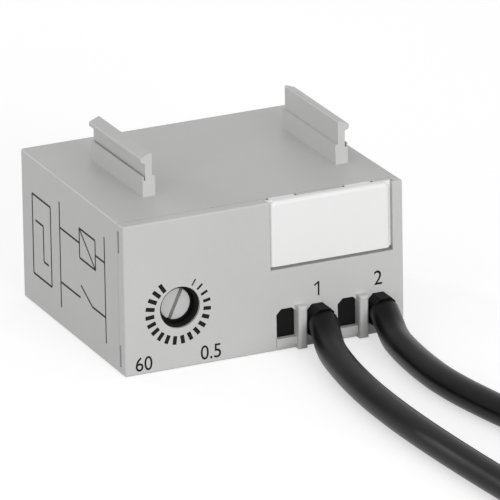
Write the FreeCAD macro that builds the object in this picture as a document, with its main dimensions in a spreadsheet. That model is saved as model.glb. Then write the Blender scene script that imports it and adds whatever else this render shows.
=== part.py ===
"""Electronic on-delay timer module that hooks onto the coil side of a 45 mm contactor.

Frame: +Z up, the front face with the time dial looks along -Y, and the origin is at the
bottom centre of the module without its two connecting leads. All sizes are millimetres.
"""
import FreeCAD, Part
import Sketcher
import math
import os

doc = FreeCAD.newDocument("timer_module")

# ---------------------------------------------------------------- driving dimensions

SIZES = [
    ("case_width", 45.0, "width of the case, the same as the contactor's"),
    ("case_depth", 38.7, "front face to back face"),
    ("case_height", 23.2, "resting face to the seating face for the contactor"),
    ("side_draft", 0.8, "how much each side leans in, front to back"),
    ("wall", 1.6, "wall of the case"),
    ("corner_round", 0.4, "round of the upright edges"),
    ("edge_round", 0.28, "round of the lying edges"),
    ("cover_plate", 2.0, "thickness of the front cover"),
    ("skirt_wall", 1.0, "wall of the cover's skirt inside the case"),
    ("skirt_depth", 3.0, "how far the skirt reaches into the case"),
    ("moulded_gap", 0.12, "clearance between moulded pieces"),
    ("joint_bite", 0.5, "how far a pad starts inside the piece it grows from"),
    ("cut_past", 1.0, "how far a cut runs past the face it opens"),
    ("seam_width", 0.15, "width of the groove around the seam"),
    ("seam_depth", 0.3, "depth of the groove around the seam"),
    ("pry_deep", 0.45, "how far a pry notch cuts into the side"),
    ("pry_long", 0.7, "pry notch along the side"),
    ("pry_tall", 3.4, "height of a pry notch"),
    ("pry_inset", 1.1, "pry notch from the top or bottom edge"),
    ("hook_left", 9.0, "left edge to the middle of the left hook's blade"),
    ("hook_right", 4.9, "right edge to the middle of the right hook's blade"),
    ("hook_back", 10.5, "front face to the hooks' near ends"),
    ("hook_run", 18.5, "length of a hook, front to back"),
    ("hook_base_wide", 2.0, "width of a hook's base block"),
    ("hook_base_tall", 3.15, "height of a hook's base block"),
    ("hook_blade", 1.1, "thickness of a hook's blade"),
    ("hook_tall", 6.65, "height of a hook above the seating face"),
    ("hook_lip", 0.7, "how far a hook's lip stands out"),
    ("hook_lip_tall", 0.65, "height of the lip's upright face"),
    ("hook_lead_in", 0.6, "drop of the lead-in slope on top of the lip"),
    ("groove_wide", 0.25, "groove at the foot of a hook's blade, under its lip"),
    ("groove_deep", 0.6, "depth of that groove"),
    ("dial_left", 8.9, "left edge to the dial's axis"),
    ("dial_up", 9.4, "resting face to the dial's axis"),
    ("dial_hole", 6.4, "diameter of the hole in the cover for the dial"),
    ("dial_size", 4.9, "diameter of the dial"),
    ("dial_long", 2.2, "length of the dial's head"),
    ("dial_edge", 0.2, "round of the dial's edge"),
    ("dial_gap", 0.09, "running clearance around the dial, radial"),
    ("dial_sunk", 1.8, "how far the dial's face lies below the front face"),
    ("bushing_sunk", 0.4, "how far the dial's bushing lies below the front face"),
    ("bushing_gap", 0.03, "gap between the bushing and the cover's hole, radial"),
    ("bushing_wall", 0.3, "wall of the bushing's sleeve"),
    ("bushing_flange", 8.6, "diameter of the bushing's flange behind the cover"),
    ("flange_thick", 1.4, "thickness of the bushing's flange"),
    ("shaft_size", 2.6, "diameter of the dial's shaft"),
    ("screw_slot_wide", 0.6, "width of the screwdriver slot"),
    ("screw_slot_deep", 0.9, "depth of the screwdriver slot"),
    ("plate_wide", 19.3, "width of the marker plate"),
    ("plate_right", 2.1, "right edge of the case to the marker plate"),
    ("plate_low", 13.1, "resting face to the marker plate's lower edge"),
    ("plate_thick", 1.2, "thickness of the marker plate"),
    ("plate_rail", 0.45, "how far the plate's rails run into the cover's grooves"),
    ("rail_thick", 0.5, "thickness of the rails"),
    ("plate_gap", 0.12, "clearance of the marker plate at its left side"),
    ("plate_gap_right", 0.4, "clearance of the marker plate at its right side"),
    ("plate_gap_low", 0.5, "gap under the marker plate"),
    ("plate_corner", 0.9, "round of the marker plate's upper corners"),
    ("plate_edge", 0.6, "round of the marker plate's upper edge"),
    ("tab_wide", 4.1, "width of a tab over the top edge"),
    ("tab_first", 0.4, "plate's left edge to the first tab"),
    ("tab_second", 12.7, "plate's left edge to the second tab"),
    ("tab_thick", 0.9, "thickness of a tab"),
    ("tab_gap", 0.42, "gap beside a tab"),
    ("tab_room", 0.5, "room under a tab"),
    ("slot_wide", 3.3, "width of a wire slot"),
    ("slot_tall", 4.5, "height of a wire slot"),
    ("slot_low", 1.9, "resting face to the wire slots' lower edge"),
    ("slot_pitch", 4.95, "wire slot to wire slot"),
    ("slot_right", 4.2, "right edge to the middle of the last wire slot"),
    ("slot_corner", 0.8, "corner of a wire slot's upper end"),
    ("post_wide", 1.45, "width of a post between two slots"),
    ("post_shift", 0.35, "how far a post stands left of the middle between its slots"),
    ("post_low", 0.05, "resting face to the posts"),
    ("post_proud", 1.3, "how far the posts stand out of the front face"),
    ("post_tall", 6.7, "height of the posts"),
    ("post_round", 0.42, "round of a post's front edges"),
    ("sill_low", 0.7, "resting face to the sills"),
    ("sill_proud", 0.35, "how far the sills stand out of the front face"),
    ("sill_side", 0.1, "how far a sill runs past its slots"),
    ("board_thick", 1.6, "thickness of the circuit board"),
    ("board_up", 2.6, "resting face to the board's underside"),
    ("board_front", 7.0, "front face to the board's front edge"),
    ("board_side_gap", 0.3, "board's edge to the case wall"),
    ("board_back_gap", 0.5, "board's back edge to the back wall"),
    ("board_corner", 1.2, "cut at the board's back corners"),
    ("rail_start", 3.6, "board's front edge to the rails that hold it"),
    ("rail_wide", 1.5, "width of the board rails on the side walls"),
    ("rib_gap", 0.1, "clearance of the board in its rails"),
    ("rib_tall", 1.1, "height of a rail above the board"),
    ("pot_wide", 9.6, "width of the potentiometer"),
    ("pot_deep", 5.0, "depth of the potentiometer"),
    ("pot_top", 4.4, "dial's axis to the potentiometer's top"),
    ("pot_back", 6.4, "front face to the potentiometer"),
    ("rotor_size", 5.0, "diameter of the potentiometer's rotor"),
    ("rotor_gap", 0.08, "running clearance around the rotor, radial"),
    ("rotor_thick", 1.6, "thickness of the rotor"),
    ("pin_pitch", 2.5, "pin to pin of the potentiometer"),
    ("pin_wide", 0.6, "width of a pin"),
    ("pin_thick", 0.4, "thickness of a pin"),
    ("pin_tall", 3.0, "height of a pin above the board"),
    ("grommet_gap", 0.02, "gap between a grommet and its slot"),
    ("grommet_collar", 0.45, "how far a grommet's collar overlaps the cover"),
    ("collar_thick", 1.3, "thickness of the collar"),
    ("collar_room", 0.1, "skirt to a collar"),
    ("lead_size", 4.4, "outer diameter of a connecting lead"),
    ("nose_proud", 2.0, "front face to the end of a grommet's nose, at its middle"),
    ("plug_sunk", 0.5, "front face to the plug in an unused slot"),
    ("core_size", 1.8, "diameter of the lead's inner tail"),
    ("core_drop", 0.15, "slot's top to the lead's inner tail"),
    ("terminal_back", 0.8, "board's front edge to the terminals"),
    ("terminal_wide", 2.6, "width of a terminal"),
    ("terminal_deep", 1.6, "depth of a terminal"),
    ("terminal_tall", 3.4, "height of a terminal"),
    ("sleeve_size", 5.0, "outer diameter of a ferrule's collar"),
    ("sleeve_run", 7.0, "length of a ferrule's collar"),
    ("pin_size", 2.4, "outer diameter of a ferrule's tube"),
    ("pin_run", 10.0, "length of a ferrule's tube"),
]


class Dim:
    """A size in millimetres together with the spreadsheet expression that drives it."""

    def __init__(self, value, text):
        self.value = float(value)
        self.text = text

    @staticmethod
    def of(other):
        return other if isinstance(other, Dim) else Dim(other, f"({float(other):g})")

    def __add__(self, other):
        other = Dim.of(other)
        return Dim(self.value + other.value, f"({self.text} + {other.text})")

    def __sub__(self, other):
        other = Dim.of(other)
        return Dim(self.value - other.value, f"({self.text} - {other.text})")

    def __mul__(self, other):
        other = Dim.of(other)
        return Dim(self.value * other.value, f"({self.text} * {other.text})")

    def __truediv__(self, other):
        other = Dim.of(other)
        return Dim(self.value / other.value, f"({self.text} / {other.text})")

    def __radd__(self, other):
        return Dim.of(other) + self

    def __rsub__(self, other):
        return Dim.of(other) - self

    def __rmul__(self, other):
        return Dim.of(other) * self

    def __neg__(self):
        return Dim(-self.value, f"(0 - {self.text})")


def make_sheet():
    """Writes every driving dimension into a spreadsheet and returns them by name."""
    sheet = doc.addObject("Spreadsheet::Sheet", "Dimensions")
    named = {}
    for row, (alias, value, meaning) in enumerate(SIZES, start=1):
        sheet.set(f"A{row}", meaning)
        sheet.set(f"B{row}", f"{value:g}")
        sheet.setAlias(f"B{row}", alias)
        named[alias] = Dim(value, f"Dimensions.{alias}")
    doc.recompute()
    return named


S = make_sheet()


# ---------------------------------------------------------------- building helpers

def plane_x(at):
    return ("YZ_Plane", at)


def plane_y(at):
    return ("XZ_Plane", -at)


def plane_z(at):
    return ("XY_Plane", at)


class Body:
    """A PartDesign body whose features are checked to add or remove material."""

    def __init__(self, label):
        self.body = doc.addObject("PartDesign::Body", label)
        self.body.Label = label
        self.count = 0
        self.volume = 0.0

    def sketch(self, plane, outlines):
        """A sketch on an origin plane moved along its normal. An outline is a list of
        (x, y) corners or a circle given as (x, y, radius)."""
        role, offset = plane
        offset = Dim.of(offset)
        self.count += 1
        made = self.body.newObject("Sketcher::SketchObject", f"{self.body.Name}_Sketch{self.count}")
        base = next(f for f in self.body.Origin.OriginFeatures if f.Role == role)
        made.AttachmentSupport = (base, [""])
        made.MapMode = "FlatFace"
        made.AttachmentOffset = FreeCAD.Placement(
            FreeCAD.Vector(0, 0, offset.value), FreeCAD.Rotation())
        made.setExpression("AttachmentOffset.Base.z", offset.text)
        for number, outline in enumerate(outlines):
            if isinstance(outline, tuple):
                self.circle(made, outline, f"c{number}")
            else:
                self.polygon(made, outline, f"p{number}")
        return made

    @staticmethod
    def fix(made, kind, geometry, point, size, name):
        size = Dim.of(size)
        if kind == "Radius":
            index = made.addConstraint(Sketcher.Constraint(kind, geometry, size.value))
        else:
            index = made.addConstraint(
                Sketcher.Constraint(kind, -1, 1, geometry, point, size.value))
        made.renameConstraint(index, name)
        made.setExpression(f"Constraints.{name}", size.text)

    def circle(self, made, outline, tag):
        x, y, radius = (Dim.of(v) for v in outline)
        index = made.addGeometry(Part.Circle(
            FreeCAD.Vector(x.value, y.value, 0), FreeCAD.Vector(0, 0, 1), radius.value), False)
        self.fix(made, "DistanceX", index, 3, x, f"{tag}_across")
        self.fix(made, "DistanceY", index, 3, y, f"{tag}_up")
        self.fix(made, "Radius", index, None, radius, f"{tag}_round")

    def polygon(self, made, outline, tag):
        corners = [(Dim.of(x), Dim.of(y)) for x, y in outline]
        places = [FreeCAD.Vector(x.value, y.value, 0) for x, y in corners]
        first = None
        for i, start in enumerate(places):
            index = made.addGeometry(
                Part.LineSegment(start, places[(i + 1) % len(places)]), False)
            first = index if first is None else first
        total = len(places)
        for i in range(total):
            made.addConstraint(Sketcher.Constraint(
                "Coincident", first + i, 2, first + (i + 1) % total, 1))
        for i, (x, y) in enumerate(corners):
            self.fix(made, "DistanceX", first + i, 1, x, f"{tag}_{i}_across")
            self.fix(made, "DistanceY", first + i, 1, y, f"{tag}_{i}_up")

    def step(self, kind, sketch, length, along, adds):
        """A pad or pocket. along is +1 to run along the plane's normal and -1 against it."""
        self.count += 1
        made = self.body.newObject(f"PartDesign::{kind}", f"{self.body.Name}_{kind}{self.count}")
        made.Profile = sketch
        length = Dim.of(length)
        made.Length = length.value
        made.setExpression("Length", length.text)
        made.Reversed = (along < 0) if adds else (along > 0)
        sketch.Visibility = False
        self.settle(made, adds)
        return made

    def settle(self, made, adds):
        self.body.Tip = made
        doc.recompute()
        if made.Shape.isNull():
            raise RuntimeError(f"{made.Name} has no shape")
        volume = made.Shape.Volume
        if adds is not None and (volume > self.volume) != adds:
            raise RuntimeError(f"{made.Name} changed nothing: {self.volume} to {volume}")
        self.volume = volume

    def pad(self, plane, outlines, length, along=1):
        return self.step("Pad", self.sketch(plane, outlines), length, along, True)

    def pocket(self, plane, outlines, length, along=1):
        return self.step("Pocket", self.sketch(plane, outlines), length, along, False)

    def dress(self, kind, size, wanted):
        """A fillet or chamfer on the edges of the last feature that wanted() picks."""
        base = self.body.Tip
        names = [f"Edge{i}" for i, edge in enumerate(base.Shape.Edges, start=1) if wanted(edge)]
        if not names:
            raise RuntimeError(f"no edges for a {kind} on {base.Name}")
        self.count += 1
        made = self.body.newObject(f"PartDesign::{kind}", f"{self.body.Name}_{kind}{self.count}")
        made.Base = (base, names)
        where = "Radius" if kind == "Fillet" else "Size"
        size = Dim.of(size)
        setattr(made, where, size.value)
        made.setExpression(where, size.text)
        self.settle(made, None)
        return made


def box_of(low, high):
    """The four corners of an upright rectangle, from its low and high corner."""
    (x0, y0), (x1, y1) = low, high
    return [(x0, y0), (x1, y0), (x1, y1), (x0, y1)]


def bevelled(low, high, cut, corners="abcd"):
    """A rectangle whose named corners (a low left, b low right, c high right, d high left)
    are cut off at 45 degrees."""
    (x0, y0), (x1, y1) = low, high
    outline = []
    outline += [(x0, y0 + cut), (x0 + cut, y0)] if "a" in corners else [(x0, y0)]
    outline += [(x1 - cut, y0), (x1, y0 + cut)] if "b" in corners else [(x1, y0)]
    outline += [(x1, y1 - cut), (x1 - cut, y1)] if "c" in corners else [(x1, y1)]
    outline += [(x0 + cut, y1), (x0, y1 - cut)] if "d" in corners else [(x0, y1)]
    return outline


def runs_along(edge, axis):
    """True for a straight edge along the given axis (0, 1 or 2)."""
    if len(edge.Vertexes) != 2:
        return False
    gap = edge.Vertexes[1].Point - edge.Vertexes[0].Point
    rest = [abs(gap[i]) for i in range(3) if i != axis]
    return abs(gap[axis]) > 0.5 and max(rest) < 1e-6


NEAR = 0.001  # how close a picked edge lies to the place it is known by


def near(value, target):
    return abs(value - target) < NEAR


def primitive(kind, name, sizes, at, turn=None):
    """A Part primitive whose sizes and place are bound to the spreadsheet."""
    made = doc.addObject(f"Part::{kind}", name)
    for prop, size in sizes.items():
        size = Dim.of(size)
        setattr(made, prop, size.value)
        made.setExpression(prop, size.text)
    at = [Dim.of(v) for v in at]
    made.Placement = FreeCAD.Placement(
        FreeCAD.Vector(*[v.value for v in at]), turn or FreeCAD.Rotation())
    for axis, value in zip("xyz", at):
        made.setExpression(f"Placement.Base.{axis}", value.text)
    return made


def block(name, low, size):
    return primitive("Box", name, dict(zip(("Length", "Width", "Height"), size)), low)


AXIS_TURN = {
    "x": FreeCAD.Rotation(FreeCAD.Vector(0, 1, 0), 90),
    "y": FreeCAD.Rotation(FreeCAD.Vector(1, 0, 0), -90),
    "z": FreeCAD.Rotation(),
}


def rod(name, start, radius, length, axis="z"):
    return primitive("Cylinder", name, {"Radius": radius, "Height": length}, start,
                     AXIS_TURN[axis])


def joined(label, pieces):
    if len(pieces) == 1:
        pieces[0].Label = label
        return pieces[0]
    made = doc.addObject("Part::MultiFuse", label)
    made.Shapes = pieces
    made.Refine = True
    made.Label = label
    return made


def cut_from(label, base, tool):
    made = doc.addObject("Part::Cut", label)
    made.Base = base
    made.Tool = tool
    made.Label = label
    return made


def grouped(label, pieces):
    made = doc.addObject("Part::Compound", label)
    made.Links = pieces
    made.Label = label
    return made


# ---------------------------------------------------------------- shared planes

half = S["case_width"] / 2
left = -half
right = half
top = S["case_height"]
front = S["post_proud"] / 2 - S["case_depth"] / 2
back = front + S["case_depth"]
seam = front + S["cover_plate"]
half_back = half - S["side_draft"]
half_seam = half - S["side_draft"] * S["cover_plate"] / S["case_depth"]
board_top = S["board_up"] + S["board_thick"]
board_y = front + S["board_front"]
inner_back = back - S["wall"]
dial_x = left + S["dial_left"]
dial_z = S["dial_up"]
plate_x1 = right - S["plate_right"]
plate_x0 = plate_x1 - S["plate_wide"]
slot_x = [right - S["slot_right"] - S["slot_pitch"] * n for n in (3, 2, 1, 0)]
slot_top = S["slot_low"] + S["slot_tall"]
collar_top = slot_top + S["grommet_collar"]
skirt_notch = collar_top + S["moulded_gap"] * 2
pieces = {}


def half_at(behind):
    """Half the case's width at a distance behind the front face."""
    return half - S["side_draft"] * behind / S["case_depth"]


# ---------------------------------------------------------------- case with its hooks

def make_housing():
    b = Body("housing")
    outer = [(-half_seam, seam), (half_seam, seam), (half_back, back), (-half_back, back)]
    b.pad(plane_z(0), [outer], top)
    b.dress("Fillet", S["corner_round"],
            lambda e: runs_along(e, 2) and near(e.CenterOfMass.y, back.value))
    b.dress("Fillet", S["edge_round"],
            lambda e: e.CenterOfMass.y > seam.value + NEAR and
            (near(e.BoundBox.ZMin, top.value) or near(e.BoundBox.ZMax, 0.0)))
    mouth = seam - S["wall"]
    in_mouth = half_at(S["cover_plate"] - S["wall"]) - S["wall"]
    in_back = half_back - S["wall"]
    inner = [(-in_mouth, mouth), (in_mouth, mouth), (in_back, inner_back),
             (-in_back, inner_back)]
    b.pocket(plane_z(S["wall"]), [inner], top - S["wall"] * 2)
    hooks = [hook_outline(left + S["hook_left"], -1), hook_outline(right - S["hook_right"], 1)]
    b.pad(plane_y(front + S["hook_back"]), hooks, S["hook_run"], -1)
    lip_low = (top + S["hook_tall"] - S["hook_lead_in"] - S["hook_lip_tall"]).value - NEAR
    b.dress("Fillet", S["hook_lip_tall"] / 3,
            lambda e: runs_along(e, 1) and e.CenterOfMass.z > lip_low)
    inner_edge = in_back - S["rail_wide"]
    outer_edge = in_mouth + S["joint_bite"]
    rails = []
    for low, high in ((S["wall"] - S["joint_bite"], S["board_up"]),
                      (board_top + S["rib_gap"], board_top + S["rib_gap"] + S["rib_tall"])):
        rails.append(box_of((-outer_edge, low), (-inner_edge, high)))
        rails.append(box_of((inner_edge, low), (outer_edge, high)))
    start = board_y + S["rail_start"]
    b.pad(plane_y(start), rails, inner_back - start + S["joint_bite"], -1)
    return b.body


def hook_outline(x, side):
    """One snap hook in the XZ plane: base block, blade, lip and lead-in slope."""
    base = S["hook_base_wide"] / 2
    blade = S["hook_blade"] / 2
    tip = blade + S["hook_lip"]
    root = top - S["wall"] / 2
    shelf = top + S["hook_base_tall"]
    peak = top + S["hook_tall"]
    lip_top = peak - S["hook_lead_in"]
    lip_low = lip_top - S["hook_lip_tall"]
    groove = blade + S["groove_wide"]
    floor = shelf - S["groove_deep"]
    outline = [(-base, root), (base, root), (base, shelf), (groove, shelf), (groove, floor),
               (blade, floor), (blade, lip_low - S["hook_lip"] / 2), (tip, lip_low),
               (tip, lip_top), (-blade / 2, peak), (-blade, peak), (-blade, shelf),
               (-base, shelf)]
    placed = [((x + u) if side > 0 else (x - u), z) for u, z in outline]
    return placed if side > 0 else placed[::-1]


pieces["housing"] = make_housing()


# ---------------------------------------------------------------- front cover

def make_cover():
    b = Body("front_cover")
    b.pad(plane_y(front), [box_of((left, 0), (right, top))], S["cover_plate"], -1)
    b.dress("Fillet", S["corner_round"],
            lambda e: runs_along(e, 2) and near(e.CenterOfMass.y, front.value))
    b.dress("Fillet", S["edge_round"],
            lambda e: e.CenterOfMass.y < seam.value - NEAR and
            (near(e.BoundBox.ZMin, top.value) or near(e.BoundBox.ZMax, 0.0)))
    # the skirt that locates the cover inside the case
    reach = half_at(S["cover_plate"] + S["skirt_depth"]) - S["wall"] - S["moulded_gap"]
    low = S["wall"] + S["moulded_gap"]
    high = top - low
    wall = S["skirt_wall"]
    b.pad(plane_y(seam), [box_of((-reach, low), (reach, high)),
                          box_of((-reach + wall, low + wall), (reach - wall, high - wall))],
          S["skirt_depth"], -1)
    # the skirt stops above the last slot's strain relief
    b.pocket(plane_y(seam + S["skirt_depth"]),
             [box_of((slot_x[3], low + wall), (reach + S["cut_past"], skirt_notch))],
             S["skirt_depth"], 1)
    b.pocket(plane_y(seam + S["skirt_depth"] + S["cut_past"]),
             [(dial_x, dial_z, S["dial_hole"] / 2)], S["case_depth"] / 2, 1)
    wide = S["slot_wide"] / 2
    b.pocket(plane_y(seam + S["cut_past"]),
             [bevelled((x - wide, S["slot_low"]), (x + wide, slot_top), S["slot_corner"], "cd")
              for x in slot_x], S["cover_plate"] + S["cut_past"] * 2, 1)
    # posts between the wire slots, and the sills under them
    posts = []
    sills = []
    for first, second in ((slot_x[0], slot_x[1]), (slot_x[2], slot_x[3])):
        x = (first + second) / 2 - S["post_shift"]
        posts.append(box_of((x - S["post_wide"] / 2, S["post_low"]),
                            (x + S["post_wide"] / 2, S["post_tall"])))
        edge = wide + S["sill_side"]
        sills.append(box_of((first - edge, S["sill_low"]), (second + edge, S["slot_low"])))
    b.pad(plane_y(front + S["joint_bite"]), posts, S["post_proud"] + S["joint_bite"], 1)
    b.dress("Fillet", S["post_round"],
            lambda e: near(e.BoundBox.YMin, front.value - S["post_proud"].value) and
            near(e.BoundBox.YMax, front.value - S["post_proud"].value))
    b.pad(plane_y(front + S["joint_bite"]), sills, S["sill_proud"] + S["joint_bite"], 1)
    # recess of the marker plate, with a groove for a rail at each side
    room_l = plate_x0 - S["plate_gap"]
    room_r = plate_x1 + S["plate_gap_right"]
    deep = front + S["plate_thick"] + S["plate_gap"]
    lip = deep - S["rail_thick"] - S["plate_gap"] * 2
    rail = S["plate_rail"]
    outside = front - S["cut_past"]
    outline = [(room_l, outside), (room_r, outside), (room_r, lip), (room_r + rail, lip),
               (room_r + rail, deep), (room_l - rail, deep), (room_l - rail, lip),
               (room_l, lip)]
    b.pocket(plane_z(S["plate_low"] - S["plate_gap_low"]), [outline], S["case_height"], 1)
    # notches in the top edge for the plate's tabs
    notches = []
    for start in (S["tab_first"], S["tab_second"]):
        x = plate_x0 + start
        notches.append(box_of((x - S["tab_gap"], deep - S["plate_gap"]),
                              (x + S["tab_wide"] + S["tab_gap"], seam + S["joint_bite"])))
    b.pocket(plane_z(top - S["tab_thick"] - S["tab_room"]), notches, S["case_height"], 1)
    # groove around the seam and pry notches in the sides
    deep = S["seam_depth"]
    past = S["cut_past"]
    b.pocket(plane_y(seam),
             [box_of((left - past, -past), (right + past, top + past)),
              box_of((left + deep, deep), (right - deep, top - deep))], S["seam_width"], 1)
    notches = []
    for z in (S["pry_inset"], top - S["pry_inset"] - S["pry_tall"]):
        notches.append(box_of((left - past, z), (left + S["pry_deep"], z + S["pry_tall"])))
        notches.append(box_of((right - S["pry_deep"], z), (right + past, z + S["pry_tall"])))
    b.pocket(plane_y(seam), notches, S["pry_long"], 1)
    return b.body


pieces["front_cover"] = make_cover()


# ---------------------------------------------------------------- marker plate

def make_plate():
    b = Body("marker_plate")
    face = front
    rear = front + S["plate_thick"]
    lip = rear - S["rail_thick"]
    rail = S["plate_rail"]
    outline = [(plate_x0, face), (plate_x1, face), (plate_x1, lip), (plate_x1 + rail, lip),
               (plate_x1 + rail, rear), (plate_x0 - rail, rear), (plate_x0 - rail, lip),
               (plate_x0, lip)]
    b.pad(plane_z(S["plate_low"]), [outline], top - S["plate_low"])
    b.dress("Fillet", S["plate_corner"],
            lambda e: runs_along(e, 1) and near(e.CenterOfMass.z, top.value) and
            e.CenterOfMass.y < lip.value)
    b.dress("Fillet", S["plate_edge"],
            lambda e: near(e.BoundBox.YMax, face.value) and near(e.CenterOfMass.z, top.value))
    ends = seam - S["moulded_gap"]
    tabs = []
    for start in (S["tab_first"], S["tab_second"]):
        x = plate_x0 + start
        tabs.append(box_of((x, rear - S["rail_thick"]), (x + S["tab_wide"], ends)))
    b.pad(plane_z(top - S["tab_thick"]), tabs, S["tab_thick"])
    b.dress("Fillet", S["edge_round"],
            lambda e: runs_along(e, 2) and near(e.CenterOfMass.y, ends.value))
    return b.body


pieces["marker_plate"] = make_plate()


# ---------------------------------------------------------------- time dial

REST_TILT = 25.0  # degrees that the screwdriver slot leans clockwise from upright


def make_dial():
    b = Body("time_dial")
    face = front + S["dial_sunk"]
    b.pad(plane_y(face), [(dial_x, dial_z, S["dial_size"] / 2)], S["dial_long"], -1)
    b.dress("Fillet", S["dial_edge"],
            lambda e: near(e.BoundBox.YMin, face.value) and near(e.BoundBox.YMax, face.value))
    neck = face + S["dial_long"] - S["joint_bite"]
    tail = front + S["pot_back"] + S["rotor_thick"]
    b.pad(plane_y(neck), [(dial_x, dial_z, S["shaft_size"] / 2)], tail - neck, -1)
    lean = math.radians(REST_TILT)
    ux, uz = math.sin(lean), math.cos(lean)
    far = S["dial_hole"] / 2
    half_slot = S["screw_slot_wide"] / 2
    corners = [(dial_x + far * (ux * a) + half_slot * (uz * c),
                dial_z + far * (uz * a) - half_slot * (ux * c))
               for a, c in ((-1, -1), (-1, 1), (1, 1), (1, -1))]
    b.pocket(plane_y(face), [corners], S["screw_slot_deep"], -1)
    return b.body


def make_bushing():
    """The black sleeve that lines the dial's hole, with a flange behind the cover."""
    sleeve = S["dial_hole"] / 2 - S["bushing_gap"]
    near_end = front + S["bushing_sunk"]
    flange = seam + S["moulded_gap"]
    far_end = flange + S["flange_thick"]
    outside = joined("bushing_outside", [
        rod("bushing_sleeve", (dial_x, near_end, dial_z), sleeve, far_end - near_end, "y"),
        rod("bushing_plate", (dial_x, flange, dial_z), S["bushing_flange"] / 2,
            S["flange_thick"], "y")])
    inside = joined("bushing_inside", [
        rod("bushing_mouth", (dial_x, front, dial_z), sleeve - S["bushing_wall"],
            flange - front, "y"),
        rod("bushing_bore", (dial_x, front, dial_z), S["dial_size"] / 2 + S["dial_gap"],
            far_end - front + S["cut_past"], "y")])
    return cut_from("dial_bushing", outside, inside)


pieces["time_dial"] = make_dial()
pieces["dial_bushing"] = make_bushing()


# ---------------------------------------------------------------- potentiometer

def make_potentiometer():
    y = front + S["pot_back"]
    shell = block("pot_block", (dial_x - S["pot_wide"] / 2, y, board_top),
                  (S["pot_wide"], S["pot_deep"], dial_z + S["pot_top"] - board_top))
    past = S["cut_past"]
    bore = rod("pot_bore", (dial_x, y - past, dial_z), S["rotor_size"] / 2 + S["rotor_gap"],
               past + S["rotor_thick"] + S["rotor_gap"], "y")
    pieces["potentiometer_body"] = cut_from("potentiometer_body", shell, bore)
    disc = rod("rotor_disc", (dial_x, y, dial_z), S["rotor_size"] / 2, S["rotor_thick"], "y")
    hole = rod("rotor_hole", (dial_x, y - past, dial_z), S["shaft_size"] / 2,
               S["rotor_thick"] + past * 2, "y")
    pieces["potentiometer_rotor"] = cut_from("potentiometer_rotor", disc, hole)
    pins = []
    for n in (-1, 0, 1):
        x = dial_x + S["pin_pitch"] * n - S["pin_wide"] / 2
        pins.append(block(f"pot_pin_{n + 1}", (x, y + S["pot_deep"], board_top),
                          (S["pin_wide"], S["pin_thick"], S["pin_tall"])))
    pieces["potentiometer_pins"] = grouped("potentiometer_pins", pins)


make_potentiometer()


# ---------------------------------------------------------------- circuit board

def make_board():
    b = Body("circuit_board")
    edge = half_back - S["wall"] - S["board_side_gap"]
    far = inner_back - S["board_back_gap"]
    b.pad(plane_z(S["board_up"]), [bevelled((-edge, board_y), (edge, far), S["board_corner"], "cd")],
          S["board_thick"])
    return b.body


pieces["circuit_board"] = make_board()


# Place of each component: across from the middle, and behind the board's front edge.
PLACES = {
    "supply_capacitor": (12.5, 19.5), "timing_capacitor": (1.5, 7.0),
    "film_capacitor": (-17.0, 14.0), "varistor": (-3.5, 20.0),
    "bridge_rectifier": (-17.0, 21.5), "timer_chip": (-3.6, 11.5),
    "switching_thyristor": (3.6, 26.0), "power_resistor": (7.0, 10.4),
}
CHIP_PLACES = ((-8.2, 2.0), (-4.4, 2.0), (-8.2, 5.5), (-4.4, 5.5), (-6.0, 9.0), (-12.5, 9.0))
DIODE_ROWS = (1.8, 5.4)
DIODE_FROM_SLOT = 7.5
# Moulded bodies: width, depth, height, and how far they stand above the board.
MOULDED = {
    "film_capacitor": (13.0, 5.5, 11.0, 0.0), "bridge_rectifier": (8.6, 6.4, 3.2, 0.0),
    "timer_chip": (9.4, 6.0, 3.0, 0.5), "switching_thyristor": (8.0, 2.8, 10.0, 3.0),
}
# Cans: radius, height. The groove near the top is a ring cut with a round section.
CANS = {"supply_capacitor": (5.0, 14.0), "timing_capacitor": (2.5, 11.0)}
GROOVE_ROUND, GROOVE_OUT, GROOVE_DROP = 0.55, 0.25, 1.6
# Legs: first leg's offset, pitch, width, depth, height.
CHIP_LEGS = (0.7, 2.54, 0.45, 0.6, 2.0)
CHIP_LEG_ROWS = (-0.6, 6.0)
THYRISTOR_LEGS = (1.55, 2.3, 0.6, 0.5, 3.0)
THYRISTOR_LEG_BACK = 1.1
# Varistor: disc radius, thickness, middle above the board; legs' spread, width, back, height.
VARISTOR_DISC = (4.6, 3.4, 5.4)
VARISTOR_LEGS = (2.5, 0.7, 1.35, 2.2)
# Power resistor: barrel radius and length, cap radius and length, middle above the board.
BARREL = (2.0, 11.0)
BARREL_CAP = (2.2, 1.6, 0.3)
BARREL_UP = 2.4
FOOT = (0.8, 0.8, 1.0)
CHIP_RESISTOR = (3.2, 1.6, 0.6)
DIODE = (1.2, 4.6)


def on_board(x, y):
    """A place on the board: across from the middle, and behind the board's front edge."""
    return (Dim.of(x), board_y + y, board_top)


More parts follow.
